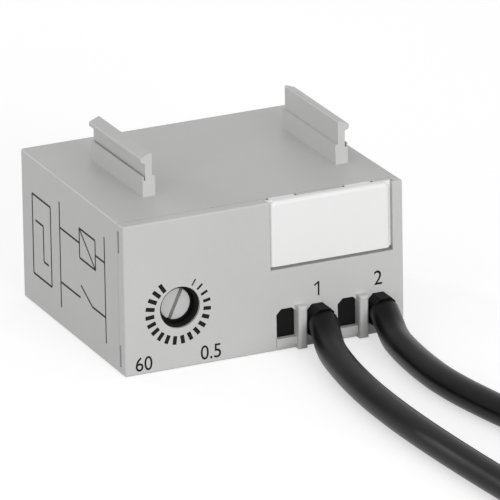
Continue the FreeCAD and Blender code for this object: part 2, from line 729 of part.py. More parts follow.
def make_components():
    for label, (radius, tall) in CANS.items():
        px, py, pz = on_board(*PLACES[label])
        can = rod(f"{label}_can", (px, py, pz), radius, tall)
        groove = primitive("Torus", f"{label}_groove",
                           {"Radius1": radius + GROOVE_OUT, "Radius2": GROOVE_ROUND},
                           (px, py, pz + tall - GROOVE_DROP))
        pieces[label] = cut_from(label, can, groove)
    for label, (wide, deep, tall, up) in MOULDED.items():
        px, py, pz = on_board(*PLACES[label])
        pieces[label] = block(label, (px, py, pz + up), (wide, deep, tall))

    px, py, pz = on_board(*PLACES["varistor"])
    radius, thick, up = VARISTOR_DISC
    spread, wide, back_by, tall = VARISTOR_LEGS
    disc = rod("varistor_disc", (px, py, pz + up), radius, thick, "y")
    legs = [block(f"varistor_leg_{n}", (px + side * spread - wide / 2, py + back_by, pz),
                  (wide, wide, tall)) for n, side in enumerate((-1, 1))]
    pieces["varistor"] = joined("varistor", [disc] + legs)

    px, py, pz = on_board(*PLACES["timer_chip"])
    start, pitch, wide, deep, tall = CHIP_LEGS
    pieces["timer_chip_legs"] = grouped("timer_chip_legs", [
        block(f"chip_leg_{n}_{row}", (px + start + n * pitch, py + y, pz), (wide, deep, tall))
        for n in range(4) for row, y in enumerate(CHIP_LEG_ROWS)])
    px, py, pz = on_board(*PLACES["switching_thyristor"])
    start, pitch, wide, deep, tall = THYRISTOR_LEGS
    pieces["thyristor_legs"] = grouped("thyristor_legs", [
        block(f"thyristor_leg_{n}", (px + start + n * pitch, py + THYRISTOR_LEG_BACK, pz),
              (wide, deep, tall)) for n in range(3)])

    px, py, pz = on_board(*PLACES["power_resistor"])
    radius, long = BARREL
    cap_radius, cap_long, cap_out = BARREL_CAP
    foot_wide, foot_deep, foot_tall = FOOT
    middle = pz + BARREL_UP
    caps = [rod(f"resistor_cap_{n}", (px + x, py, middle), cap_radius, cap_long, "x")
            for n, x in enumerate((-cap_out, long + cap_out - cap_long))]
    feet = [block(f"resistor_foot_{n}", (px + x, py - foot_deep / 2, pz), FOOT)
            for n, x in enumerate((foot_wide / 4, long - foot_wide * 1.25))]
    pieces["power_resistor"] = joined("power_resistor", [
        rod("resistor_barrel", (px, py, middle), radius, long, "x")] + caps + feet)

    pieces["chip_resistors"] = grouped("chip_resistors", [
        block(f"chip_resistor_{n}", on_board(x, y), CHIP_RESISTOR)
        for n, (x, y) in enumerate(CHIP_PLACES)])
    radius, long = DIODE
    diodes = []
    for n, y in enumerate(DIODE_ROWS):
        px, py, pz = on_board(slot_x[3] - DIODE_FROM_SLOT, y)
        diodes.append(rod(f"diode_{n}", (px, py, pz + radius), radius, long, "x"))
    pieces["diodes"] = grouped("diodes", diodes)


make_components()


# ---------------------------------------------------------------- lead entries

LEADS = (("1", slot_x[1]), ("2", slot_x[3]))
PLUGS = (("1", slot_x[0]), ("2", slot_x[2]))
core_z = slot_top - S["core_size"] / 2 - S["core_drop"]
terminal_y = board_y + S["terminal_back"]
NOSE_PITCH = 20.0  # degrees that the leads point down as they leave


def slot_piece(label, x, low_end, high_end):
    """A rubber piece that fills a wire slot, with a collar behind the cover. Its front end
    runs from low_end at the bottom of the slot to high_end at the top."""
    b = Body(label)
    gap = S["grommet_gap"]
    wide = S["slot_wide"] / 2 - gap
    low = S["slot_low"] + gap
    high = slot_top - gap
    b.pad(plane_x(x - wide), [[(seam, low), (seam, high), (high_end, high), (low_end, low)]],
          wide * 2)
    b.dress("Chamfer", S["slot_corner"],
            lambda e: runs_along(e, 1) and near(e.CenterOfMass.z, high.value))
    bottom = S["wall"] + S["moulded_gap"] + S["skirt_wall"] + S["collar_room"]
    collar = wide + S["grommet_collar"]
    b.pad(plane_y(seam), [box_of((x - collar, bottom), (x + collar, collar_top))],
          S["collar_thick"], -1)
    return b.body


def make_entry(number, x):
    """A strain relief whose nose faces down along the lead, and the lead's inner tail."""
    lean = math.tan(math.radians(NOSE_PITCH)) * (S["slot_tall"] / 2 - S["grommet_gap"])
    tip = front - S["nose_proud"]
    pieces[f"lead_grommet_{number}"] = slot_piece(
        f"lead_grommet_{number}", x, tip + lean, tip - lean)
    start = seam + S["collar_thick"]
    pieces[f"inner_lead_{number}"] = rod(
        f"inner_lead_{number}", (x, start, core_z), S["core_size"] / 2, terminal_y - start, "y")


for number, x in LEADS:
    make_entry(number, x)
for number, x in PLUGS:
    plug_face = front + S["plug_sunk"]
    pieces[f"slot_plug_{number}"] = slot_piece(f"slot_plug_{number}", x, plug_face, plug_face)

pieces["lead_terminals"] = grouped("lead_terminals", [
    block(f"terminal_{number}", (x - S["terminal_wide"] / 2, terminal_y, board_top),
          (S["terminal_wide"], S["terminal_deep"], S["terminal_tall"]))
    for number, x in LEADS])


# ---------------------------------------------------------------- connecting leads

# Each route starts at its grommet. A point is (from the grommet's middle, in front of the
# front face, height of the middle of the lead).
ROUTES = {
    "1": [(0.0, 2.0, 4.05), (-0.75, 4.9, 2.98), (-1.9, 8.6, 2.22), (-2.95, 13.8, 2.22),
          (-3.95, 20.4, 2.22), (-4.75, 29.5, 2.22), (-4.9, 42.0, 2.22), (-4.2, 58.0, 2.22),
          (-2.8, 76.0, 2.22), (-2.4, 95.0, 2.32), (-3.2, 112.0, 2.6)],
    "2": [(0.0, 2.0, 4.05), (-0.5, 4.9, 2.98), (-1.4, 8.6, 2.22), (-2.15, 13.4, 2.22),
          (-2.75, 20.2, 2.22), (-2.85, 28.4, 2.22), (-1.5, 38.5, 2.22), (1.4, 53.0, 2.22),
          (3.4, 70.0, 2.22), (3.9, 88.0, 2.32), (3.0, 105.0, 2.6)],
}
ARC_SHARE = 0.45  # share of the shorter run that an arc takes up at each end
VOLUME_SLACK = 0.005


def route_edges(points):
    """Straight runs joined by tangent arcs, with the radius of each arc."""
    edges, radii = [], []
    last = points[0]
    for before, corner, after in zip(points, points[1:], points[2:]):
        back_run, next_run = corner - before, after - corner
        turn = back_run.getAngle(next_run)
        setback = ARC_SHARE * min(back_run.Length, next_run.Length)
        radius = setback / math.tan(turn / 2)
        a = corner - back_run / back_run.Length * setback
        c = corner + next_run / next_run.Length * setback
        bisector = (next_run / next_run.Length - back_run / back_run.Length)
        bisector.normalize()
        centre = corner + bisector * (radius / math.cos(turn / 2))
        middle = centre - bisector * radius
        edges.append(Part.LineSegment(last, a).toShape())
        edges.append(Part.Arc(a, middle, c).toShape())
        radii.append(radius)
        last = c
    edges.append(Part.LineSegment(last, points[-1]).toShape())
    return edges, radii


def make_lead(number, x):
    points = [FreeCAD.Vector(x.value + u, front.value - v, z) for u, v, z in ROUTES[number]]
    edges, radii = route_edges(points)
    path = Part.Wire(edges)
    radius = S["lead_size"].value / 2
    start = points[1] - points[0]
    ring = Part.Wire([Part.Circle(points[0], start, radius).toShape()])
    tube = path.makePipeShell([ring], True, False, 2)
    expected = math.pi * radius ** 2 * path.Length
    if abs(tube.Volume / expected - 1) > VOLUME_SLACK:
        raise RuntimeError(f"lead {number}: volume {tube.Volume:.2f}, expected {expected:.2f}")
    print(f"lead {number}: length {path.Length:.2f}, radii",
          " ".join(f"{r:.0f}" for r in radii))
    lead = doc.addObject("Part::Feature", f"lead_{number}")
    lead.Shape = tube
    lead.Label = f"lead_{number}"
    pieces[f"lead_{number}"] = lead

    end = points[-1]
    heading = (points[-1] - points[-2])
    heading.normalize()
    place = FreeCAD.Placement(end, FreeCAD.Rotation(FreeCAD.Vector(0, 0, 1), heading))
    for name, size, run, offset in (
            (f"ferrule_collar_{number}", "sleeve_size", S["sleeve_run"], 0.0),
            (f"ferrule_tube_{number}", "pin_size", S["pin_run"], S["sleeve_run"].value)):
        made = doc.addObject("Part::Cylinder", name)
        made.setExpression("Radius", (S[size] / 2).text)
        made.setExpression("Height", run.text)
        made.Placement = FreeCAD.Placement(end + heading * offset, place.Rotation)
        made.Label = name
        pieces[name] = made


for number, x in LEADS:
    make_lead(number, x)


# ---------------------------------------------------------------- check and write

doc.recompute()
faults = [f"{o.Label}: {', '.join(o.State)}" for o in doc.Objects
          if "Invalid" in o.State or "Error" in o.State]
for label, piece in pieces.items():
    shape = piece.Shape
    if shape.isNull():
        faults.append(f"{label}: no shape")
    elif not shape.isValid():
        faults.append(f"{label}: shape not valid")
    elif not shape.Solids:
        faults.append(f"{label}: no solid")
if faults:
    raise RuntimeError("; ".join(faults))

os.makedirs("parts", exist_ok=True)
for label, piece in pieces.items():
    piece.Label = label
    piece.Shape.exportStep(os.path.join("parts", f"{label}.step"))
    box = piece.Shape.BoundBox
    print(f"{label}: {len(piece.Shape.Solids)} solid, volume {piece.Shape.Volume:.1f}, "
          f"x {box.XMin:.2f} {box.XMax:.2f}, y {box.YMin:.2f} {box.YMax:.2f}, "
          f"z {box.ZMin:.2f} {box.ZMax:.2f}")
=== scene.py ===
"""Looks of an electronic on-delay timer module that hooks onto a 45 mm contactor."""
import math

import bmesh
import bpy
from bpy.props import FloatProperty, FloatVectorProperty, IntProperty, PointerProperty
from mathutils import Matrix, Quaternion, Vector


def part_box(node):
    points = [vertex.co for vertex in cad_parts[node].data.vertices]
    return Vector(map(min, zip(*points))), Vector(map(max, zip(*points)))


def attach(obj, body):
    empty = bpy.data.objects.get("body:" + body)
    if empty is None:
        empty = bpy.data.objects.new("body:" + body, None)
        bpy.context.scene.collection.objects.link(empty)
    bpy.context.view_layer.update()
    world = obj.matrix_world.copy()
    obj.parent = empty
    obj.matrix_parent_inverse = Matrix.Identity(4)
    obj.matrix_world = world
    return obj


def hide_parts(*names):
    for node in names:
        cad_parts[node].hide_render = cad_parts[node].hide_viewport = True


bl_info = {
    "name": "Timer Module Looks",
    "version": (1, 0, 0),
    "blender": (4, 5, 0),
    "location": "View3D > Sidebar > Timer Module",
    "description": "Finishes, printing, leads and studio of a contactor timer module",
    "category": "Object",
}

MM = 0.001
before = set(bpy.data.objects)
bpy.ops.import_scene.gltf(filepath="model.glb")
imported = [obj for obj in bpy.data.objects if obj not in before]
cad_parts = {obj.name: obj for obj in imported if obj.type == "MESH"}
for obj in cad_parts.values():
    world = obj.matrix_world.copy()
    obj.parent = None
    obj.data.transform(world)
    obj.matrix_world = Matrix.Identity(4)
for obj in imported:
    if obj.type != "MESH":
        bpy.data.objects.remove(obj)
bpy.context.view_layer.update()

COVER_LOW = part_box("front_cover")[0]
LEFT = COVER_LOW.x
POST_PROUD = 1.3 * MM
FRONT = COVER_LOW.y + POST_PROUD
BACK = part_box("housing")[1].y
BACK_EDGE = 1.6 * MM
DIAL_LOW, DIAL_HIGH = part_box("time_dial")
DIAL_AXIS = ((DIAL_LOW.x + DIAL_HIGH.x) / 2, (DIAL_LOW.z + DIAL_HIGH.z) / 2)
PRINT_PROUD = 0.015 * MM


# ---------------------------------------------------------------- properties

class CaseSettings(bpy.types.PropertyGroup):
    """Colours and surface of the moulded case."""
    body_colour: FloatVectorProperty(
        name="Case colour", description="Light grey of the case and cover", subtype="COLOR",
        size=3, min=0, max=1, default=(0.565, 0.565, 0.56))
    marker_colour: FloatVectorProperty(
        name="Marker colour", description="White of the marker plate", subtype="COLOR",
        size=3, min=0, max=1, default=(0.86, 0.86, 0.855))
    grain: FloatProperty(
        name="Grain", description="Size of the moulded texture's grains", unit="LENGTH",
        default=0.16 * MM)
    roughness: FloatProperty(
        name="Roughness", description="Roughness of the moulded plastic", min=0, max=1,
        default=0.46)


class PrintSettings(bpy.types.PropertyGroup):
    """Printing on the front and the side."""
    ink_colour: FloatVectorProperty(
        name="Ink colour", description="Colour of the printed marks", subtype="COLOR",
        size=3, min=0, max=1, default=(0.005, 0.005, 0.005))
    tick_count: IntProperty(
        name="Ticks", description="Number of marks around the dial", default=20)
    tick_gap: FloatProperty(
        name="Open angle", description="Angle without marks above the dial",
        subtype="ANGLE", default=math.radians(66))
    tick_shift: FloatVectorProperty(
        name="Shift", description="How far the printed ring lies off the dial's axis",
        unit="LENGTH", size=2, default=(-0.30 * MM, -0.42 * MM))
    tick_outer: FloatProperty(
        name="Outer radius", description="Outer radius of the marks", unit="LENGTH",
        default=5.25 * MM)
    tick_inner_bold: FloatProperty(
        name="Inner radius, bold", description="Inner radius of the boldest mark",
        unit="LENGTH", default=3.75 * MM)
    tick_inner_fine: FloatProperty(
        name="Inner radius, fine", description="Inner radius of the finest mark",
        unit="LENGTH", default=4.15 * MM)
    tick_bold: FloatProperty(
        name="Bold mark", description="Width of the boldest mark", unit="LENGTH",
        default=0.62 * MM)
    tick_fine: FloatProperty(
        name="Fine mark", description="Width of the finest mark", unit="LENGTH",
        default=0.22 * MM)
    digit_height: FloatProperty(
        name="Digit height", description="Height of the printed digits", unit="LENGTH",
        default=2.2 * MM)


class LeadSettings(bpy.types.PropertyGroup):
    """The two connecting leads."""
    diameter: FloatProperty(
        name="Lead diameter", description="Outer diameter of a lead", unit="LENGTH",
        default=4.4 * MM)
    jacket_colour: FloatVectorProperty(
        name="Jacket colour", description="Black of the leads", subtype="COLOR", size=3,
        min=0, max=1, default=(0.0035, 0.0035, 0.0035))
    roughness: FloatProperty(
        name="Jacket roughness", description="Roughness of the leads", min=0, max=1,
        default=0.3)


class StageSettings(bpy.types.PropertyGroup):
    """Camera, lamps and floor."""
    azimuth: FloatProperty(
        name="Azimuth", description="How far the camera stands to the left of the front",
        subtype="ANGLE", default=math.radians(24.47))
    elevation: FloatProperty(
        name="Elevation", description="How far the camera looks down", subtype="ANGLE",
        default=math.radians(19.88))
    roll: FloatProperty(
        name="Roll", description="Roll of the camera", subtype="ANGLE",
        default=math.radians(-0.975))
    distance: FloatProperty(
        name="Distance", description="Camera to the point it looks at", unit="LENGTH",
        default=1.5)
    lens: FloatProperty(
        name="Lens", description="Focal length in millimetres", default=732.5)
    aim: FloatVectorProperty(
        name="Aim", description="Point that the camera looks at", unit="LENGTH", size=3,
        default=(4.671 * MM, -3.480 * MM, 10.351 * MM))
    key_power: FloatProperty(
        name="Key power", description="Power of the large front lamp in watts", default=2.9)
    side_power: FloatProperty(
        name="Side power", description="Power of the narrow side lamp in watts", default=0.65)
    rim_power: FloatProperty(
        name="Rim power", description="Power of the low lamp behind the leads in watts",
        default=1.1)
    sky_level: FloatProperty(
        name="Sky level", description="Brightness of the surrounding light", default=0.56)


# ---------------------------------------------------------------- material kit

class Signal:
    """A number flowing through a material, written with plain arithmetic."""

    def __init__(self, finish, socket):
        self.finish = finish
        self.socket = socket

    def __add__(self, other):
        return self.finish.maths("ADD", self, other)

    def __radd__(self, other):
        return self.finish.maths("ADD", other, self)

    def __mul__(self, other):
        return self.finish.maths("MULTIPLY", self, other)

    def __rmul__(self, other):
        return self.finish.maths("MULTIPLY", other, self)

    def __gt__(self, other):
        return self.finish.maths("GREATER_THAN", self, other)


class Finish:
    """A material, or the look of a given world, built from nodes."""

    def __init__(self, name, world=None):
        self.material = world or bpy.data.materials.new(name)
        self.material.use_nodes = True
        self.tree = self.material.node_tree
        self.tree.nodes.clear()
        kind = "ShaderNodeOutputWorld" if world else "ShaderNodeOutputMaterial"
        self.output = self.tree.nodes.new(kind)

    def feed(self, socket, value):
        if isinstance(value, Signal):
            self.tree.links.new(value.socket, socket)
        elif isinstance(value, bpy.types.NodeSocket):
            self.tree.links.new(value, socket)
        else:
            socket.default_value = value

    def node(self, kind, settings=None, inputs=None):
        """A node of a type: its settings first, then the values or links of its sockets."""
        made = self.tree.nodes.new(kind)
        for name, value in (settings or {}).items():
            setattr(made, name, value)
        for name, value in (inputs or {}).items():
            self.feed(made.inputs[name], value)
        return made

    def maths(self, operation, first, second):
        made = self.node("ShaderNodeMath", {"operation": operation})
        self.feed(made.inputs[0], first)
        self.feed(made.inputs[1], second)
        return Signal(self, made.outputs[0])

    def place(self):
        return self.node("ShaderNodeTexCoord").outputs["Object"]

    def noise(self, size, detail=2.0, rough=0.5):
        """Noise between 0 and 1 whose grains are about size metres wide."""
        made = self.node("ShaderNodeTexNoise", None, {
            "Vector": self.place(), "Scale": 1.0 / size, "Detail": detail,
            "Roughness": rough})
        return Signal(self, made.outputs["Fac"])

    def blend(self, factor, first, second):
        """A colour between two colours."""
        made = self.node("ShaderNodeMix", {"data_type": "RGBA", "clamp_factor": True})
        self.feed(made.inputs[0], factor)
        self.feed(made.inputs[6], first)
        self.feed(made.inputs[7], second)
        return made.outputs[2]

    def bump(self, height, strength, distance):
        made = self.node("ShaderNodeBump", None, {
            "Height": height, "Strength": strength, "Distance": distance})
        return made.outputs["Normal"]

    def seen_directly(self):
        """1 for camera, glossy and transmission rays, 0 for all others."""
        path = self.node("ShaderNodeLightPath")
        camera = Signal(self, path.outputs["Is Camera Ray"])
        glossy = Signal(self, path.outputs["Is Glossy Ray"])
        through = Signal(self, path.outputs["Is Transmission Ray"])
        return self.maths("MAXIMUM", self.maths("MAXIMUM", camera, glossy), through)

    def ends_in(self, factor, first, second):
        """Ends the look in one of two shaders, or in a mix of them."""
        made = self.node("ShaderNodeMixShader")
        self.feed(made.inputs[0], factor)
        self.feed(made.inputs[1], first.outputs[0])
        self.feed(made.inputs[2], second.outputs[0])
        self.feed(self.output.inputs["Surface"], made.outputs[0])

    def surface(self, **sockets):
        """Ends the material in a Principled surface. Socket names use _ for a space."""
        inputs = {name.replace("_", " ").title().replace("Ior", "IOR"): value
                  for name, value in sockets.items()}
        made = self.node("ShaderNodeBsdfPrincipled", None, inputs)
        self.feed(self.output.inputs["Surface"], made.outputs[0])
        return self.material


def rgba(colour, factor=1.0):
    return tuple(min(1.0, c * factor) for c in colour) + (1.0,)


def moulded(name, colour, roughness, grain, relief=0.35):
    """Moulded plastic: a fine spark-eroded grain, faint flow clouds and uneven gloss."""
    f = Finish(name)
    cloud = f.noise(9 * MM, 3.0)
    fine = f.noise(grain, 3.0, 0.6)
    speck = f.noise(grain * 4, 2.0)
    mixed = f.blend(cloud * 0.6 + speck * 0.4, rgba(colour, 0.955), rgba(colour, 1.035))
    return f.surface(base_color=mixed, roughness=fine * 0.14 + (roughness - 0.07),
                     specular_ior_level=0.4,
                     normal=f.bump(fine * 0.7 + speck * 0.3, relief, 0.02 * MM))


def glossy(name, colour, roughness, relief=0.1, coat=0.0):
    """Smooth plastic or lacquer with slight waviness."""
    f = Finish(name)
    wave = f.noise(1.6 * MM, 2.0)
    fine = f.noise(0.12 * MM, 2.0)
    mixed = f.blend(wave, rgba(colour, 0.9), rgba(colour, 1.08))
    return f.surface(base_color=mixed, roughness=fine * 0.1 + (roughness - 0.05),
                     coat_weight=coat, normal=f.bump(wave * 0.7 + fine * 0.3, relief, 0.03 * MM))


def rubbery(name, colour):
    """Dull black rubber with a faint bloom. The same black also lines the dial's hole and fills
    the empty slots, as painted shade.
    """
    f = Finish(name)
    bloom = f.noise(0.7 * MM, 3.0)
    mixed = f.blend(bloom, rgba(colour, 0.8), rgba(colour, 2.0))
    return f.surface(base_color=mixed, roughness=bloom * 0.2 + 0.5, specular_ior_level=0.12,
                     normal=f.bump(bloom, 0.2, 0.03 * MM))


def tinned(name):
    """Tin-plated metal with soft drawn streaks."""
    f = Finish(name)
    streak = f.noise(0.35 * MM, 4.0)
    mixed = f.blend(streak, (0.62, 0.61, 0.58, 1.0), (0.80, 0.79, 0.76, 1.0))
    return f.surface(base_color=mixed, metallic=1.0, roughness=streak * 0.2 + 0.25,
                     normal=f.bump(streak, 0.2, 0.02 * MM))


def solder_mask(name):
    """Green board lacquer with the copper tracks showing through as paler lines."""
    f = Finish(name)
    track = f.node("ShaderNodeTexBrick", {"offset": 0.5}, {
        "Vector": f.place(), "Scale": 160.0, "Mortar Size": 0.03,
        "Color1": (0, 0, 0, 1), "Color2": (0.4, 0.4, 0.4, 1), "Mortar": (1, 1, 1, 1)})
    mixed = f.blend(track.outputs["Fac"], (0.012, 0.09, 0.035, 1), (0.03, 0.19, 0.08, 1))
    return f.surface(base_color=mixed, roughness=f.noise(1.5 * MM) * 0.15 + 0.25,
                     normal=f.bump(track.outputs["Fac"], 0.3, 0.03 * MM))


STRIPE_FROM = 0.86  # share of the can's width at which its stripe starts


def sleeve_with_stripe(name, colour, stripe):
    """Shrink sleeve of an electrolytic capacitor with its paler polarity stripe."""
    f = Finish(name)
    across = f.node("ShaderNodeTexCoord").outputs["Generated"]
    split = f.node("ShaderNodeSeparateXYZ", None, {"Vector": across})
    edge = Signal(f, split.outputs["X"]) > STRIPE_FROM
    mixed = f.blend(edge, rgba(colour), rgba(stripe))
    return f.surface(base_color=mixed, roughness=f.noise(0.8 * MM) * 0.12 + 0.22,
                     normal=f.bump(f.noise(2.5 * MM), 0.15, 0.05 * MM))


def ink(name, colour):
    """Pad-printed ink: nearly matt, slightly uneven in density."""
    f = Finish(name)
    cover = f.noise(0.1 * MM, 3.0)
    mixed = f.blend(cover, rgba(colour), rgba(colour, 2.6))
    return f.surface(base_color=mixed, roughness=cover * 0.2 + 0.45, specular_ior_level=0.12,
                     normal=f.bump(cover, 0.1, 0.01 * MM))


def dress(node, material):
    """Gives a CAD piece its finish."""
    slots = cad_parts[node].data.materials
    slots.clear()
    slots.append(material)


def printed(name, mesh):
    """Makes a print from its mesh. It rides on the case."""
    made = bpy.data.objects.new(name, mesh)
    bpy.context.scene.collection.objects.link(made)
    mesh.materials.clear()
    mesh.materials.append(ink_material())
    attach(made, "case")


def ink_material():
    settings = bpy.context.scene.timer_print
    return bpy.data.materials.get("printing_ink") or ink("printing_ink", settings.ink_colour)


# ---------------------------------------------------------------- case and plate

class TIMER_OT_case(bpy.types.Operator):
    """Gives the case, cover and dial their moulded plastic"""
    bl_idname = "timer_module.case"
    bl_label = "Case"

    def execute(self, context):
        s = context.scene.timer_case
        case = moulded("case_plastic", s.body_colour, s.roughness, s.grain)
        dress("housing", case)
        cover = moulded("cover_plastic", [c * 1.01 for c in s.body_colour],
                        s.roughness - 0.03, s.grain, 0.28)
        dress("front_cover", cover)
        dial = moulded("dial_plastic", [c * 1.04 for c in s.body_colour],
                       s.roughness - 0.08, s.grain * 1.5, 0.15)
        dress("time_dial", dial)
        # The bushing's dull black lines the dial's hole: painted shade in the gap round the
        # dial.
        dress("dial_bushing", rubbery("dial_gap_shade_black", (0.004, 0.004, 0.004)))
        return {"FINISHED"}


class TIMER_OT_marker(bpy.types.Operator):
    """Gives the marker plate its smooth white plastic"""
    bl_idname = "timer_module.marker"
    bl_label = "Marker Plate"

    def execute(self, context):
        colour = context.scene.timer_case.marker_colour
        f = Finish("marker_plastic")
        cloud = f.noise(6 * MM, 2.0)
        fine = f.noise(0.25 * MM, 2.0)
        mixed = f.blend(cloud, rgba(colour, 0.985), rgba(colour, 1.01))
        dress("marker_plate", f.surface(
            base_color=mixed, roughness=fine * 0.1 + 0.33,
            normal=f.bump(fine, 0.08, 0.02 * MM)))
        return {"FINISHED"}


# ---------------------------------------------------------------- printing

def flat_mesh(name, outlines, to_space, proud):
    """A thin raised print from outlines in a face's own two axes. to_space(u, v, lift)
    turns a place on the face into a point."""
    mesh = bpy.data.meshes.new(name)
    built = bmesh.new()
    for outline in outlines:
        low = [built.verts.new(to_space(u, v, -proud)) for u, v in outline]
        high = [built.verts.new(to_space(u, v, proud)) for u, v in outline]
        built.faces.new(high)
        built.faces.new(low[::-1])
        for i in range(len(outline)):
            j = (i + 1) % len(outline)
            built.faces.new((low[i], low[j], high[j], high[i]))
    bmesh.ops.recalc_face_normals(built, faces=built.faces)
    built.to_mesh(mesh)
    built.free()
    return mesh


def on_front(u, v, lift):
    """A place on the front face, from the case's left edge and its underside."""
    return (LEFT + u, FRONT - lift, v)


def on_left_side(u, v, lift):
    """A place on the left side, from the front face and the underside. The side leans in."""
    lean = (abs(LEFT) - abs(side_at_back())) * u / (BACK - FRONT)
    return (LEFT + lean - lift, FRONT + u, v)


def side_at_back():
    """Where the left side meets the back, read from the housing's own vertices."""
    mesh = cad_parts["housing"].data
    rear = [v.co.x for v in mesh.vertices if v.co.y > BACK - BACK_EDGE]
    return min(rear)


def bar(start, end, width):
    """The outline of a straight line of a width."""
    (x0, y0), (x1, y1) = start, end
    long = math.hypot(x1 - x0, y1 - y0)
    nx, ny = -(y1 - y0) / long * width / 2, (x1 - x0) / long * width / 2
    return [(x0 + nx, y0 + ny), (x1 + nx, y1 + ny), (x1 - nx, y1 - ny), (x0 - nx, y0 - ny)]


class TIMER_OT_scale(bpy.types.Operator):
    """Prints the ring of marks around the time dial"""
    bl_idname = "timer_module.scale"
    bl_label = "Dial Scale"

    def execute(self, context):
        s = context.scene.timer_print
        cx = DIAL_AXIS[0] - LEFT + s.tick_shift[0]
        cz = DIAL_AXIS[1] + s.tick_shift[1]
        start = s.tick_gap / 2
        step = (2 * math.pi - s.tick_gap) / (s.tick_count - 1)
        outlines = []
        for n in range(s.tick_count):
            angle = start + n * step
            share = n / (s.tick_count - 1)
            inner = s.tick_inner_fine + (s.tick_inner_bold - s.tick_inner_fine) * share
            width = s.tick_fine + (s.tick_bold - s.tick_fine) * min(1.0, share * 4)
            ux, uz = math.sin(angle), math.cos(angle)
            outlines.append(bar((cx + ux * inner, cz + uz * inner),
                                (cx + ux * s.tick_outer, cz + uz * s.tick_outer), width))
        mesh = flat_mesh("dial_scale", outlines, on_front, PRINT_PROUD)
        printed("dial_scale", mesh)
        return {"FINISHED"}


DIGIT_NARROW = 0.92
STROKE_SPREAD = 0.004
CURVE_DEPTH = 0.01
# Each number's piece and text, and its middle in millimetres from the case's left edge and
# its underside.
NUMBERS = (
    ("scale_number_long", "60", 3.0, 1.65),
    ("scale_number_short", "0.5", 13.7, 1.75),
    ("slot_number_1", "1", 30.9, 8.65),
    ("slot_number_2", "2", 40.8, 8.7),
)


def digits(name, text, centre, height):
    """Printed digits on the front face, centred on a place and exactly height tall."""
    curve = bpy.data.curves.new(name, "FONT")
    curve.body = text
    curve.offset = STROKE_SPREAD
    curve.extrude = CURVE_DEPTH
    curve.resolution_u = 6
    writer = bpy.data.objects.new(name + "_writer", curve)
    bpy.context.scene.collection.objects.link(writer)
    bpy.context.view_layer.update()
    mesh = bpy.data.meshes.new_from_object(
        writer.evaluated_get(bpy.context.evaluated_depsgraph_get()))
    bpy.data.objects.remove(writer)
    xs = [v.co.x for v in mesh.vertices]
    ys = [v.co.y for v in mesh.vertices]
    size = height / (max(ys) - min(ys))
    mid = ((max(xs) + min(xs)) / 2, (max(ys) + min(ys)) / 2)
    for v in mesh.vertices:
        lift = PRINT_PROUD if v.co.z > 0 else -PRINT_PROUD
        v.co = on_front(centre[0] + (v.co.x - mid[0]) * size * DIGIT_NARROW,
                        centre[1] + (v.co.y - mid[1]) * size, lift)
    mesh.update()
    printed(name, mesh)


class TIMER_OT_digits(bpy.types.Operator):
    """Prints the plain numbers of the scale and of the wire slots"""
    bl_idname = "timer_module.digits"
    bl_label = "Numbers"

    def execute(self, context):
        high = context.scene.timer_print.digit_height
        for name, text, across, up in NUMBERS:
            centre = (across * MM, up * MM)
            if text == "1":
                self.number_one(name, centre, high)
            else:
                digits(name, text, centre, high)
        return {"FINISHED"}

    @staticmethod
    def number_one(name, centre, high):
        """A 1 with a flag, which the plain font lacks."""
        x, z = centre
        stroke = high * 0.12
        stem = bar((x + stroke, z - high / 2), (x + stroke, z + high / 2), stroke)
        flag = bar((x + stroke * 0.9, z + high * 0.46), (x - stroke * 1.6, z + high * 0.24),
                   stroke * 0.9)
        mesh = flat_mesh(name, [stem, flag], on_front, PRINT_PROUD)
        printed(name, mesh)


DIAGRAM_LINE = 0.32 * MM
# Lines of the diagram: places in millimetres behind the front face and above the underside.
DIAGRAM = (
    ((7.0, 3.0), (7.0, 19.5)),
    ((24.0, 3.0), (24.0, 19.5)),
    ((7.0, 15.5), (10.5, 15.5)),
    ((10.5, 13.2), (10.5, 17.8), (16.5, 17.8), (16.5, 13.2), (10.5, 13.2)),
    ((10.5, 13.2), (16.5, 17.8)),
    ((16.5, 15.5), (24.0, 15.5)),
    ((7.0, 7.0), (12.0, 7.0)),
    ((12.0, 7.0), (16.2, 9.0)),
    ((16.5, 7.0), (24.0, 7.0)),
    ((27.5, 5.0), (27.5, 17.5), (34.5, 17.5), (34.5, 5.0), (27.5, 5.0)),
    ((28.6, 8.0), (30.4, 8.0), (30.4, 13.6), (33.4, 13.6)),
)


class TIMER_OT_diagram(bpy.types.Operator):
    """Prints a plain wiring diagram, lines only, on the left side"""
    bl_idname = "timer_module.diagram"
    bl_label = "Side Diagram"

    def execute(self, context):
        outlines = []
        for places in DIAGRAM:
            for (x0, y0), (x1, y1) in zip(places, places[1:]):
                outlines.append(bar((x0 * MM, y0 * MM), (x1 * MM, y1 * MM), DIAGRAM_LINE))
        mesh = flat_mesh("side_diagram", outlines, on_left_side, PRINT_PROUD)
        printed("side_diagram", mesh)
        return {"FINISHED"}


# ---------------------------------------------------------------- leads

# Each lead's slot, across from the middle of the case, and the points of its route: across
# from the slot, in front of the front face, and the height of the lead's middle.
ROUTES = {
    "1": (8.4, [
        (0.0, 2.0, 4.05), (-0.75, 4.9, 2.98), (-1.9, 8.6, 2.22), (-2.95, 13.8, 2.22),
        (-3.95, 20.4, 2.22), (-4.75, 29.5, 2.22), (-4.9, 42.0, 2.22), (-4.2, 58.0, 2.22),
        (-2.8, 76.0, 2.22), (-2.4, 95.0, 2.32), (-3.2, 112.0, 2.6)]),
    "2": (18.3, [
        (0.0, 2.0, 4.05), (-0.5, 4.9, 2.98), (-1.4, 8.6, 2.22), (-2.15, 13.4, 2.22),
        (-2.75, 20.2, 2.22), (-2.85, 28.4, 2.22), (-1.5, 38.5, 2.22), (1.4, 53.0, 2.22),
        (3.4, 70.0, 2.22), (3.9, 88.0, 2.32), (3.0, 105.0, 2.6)]),
}


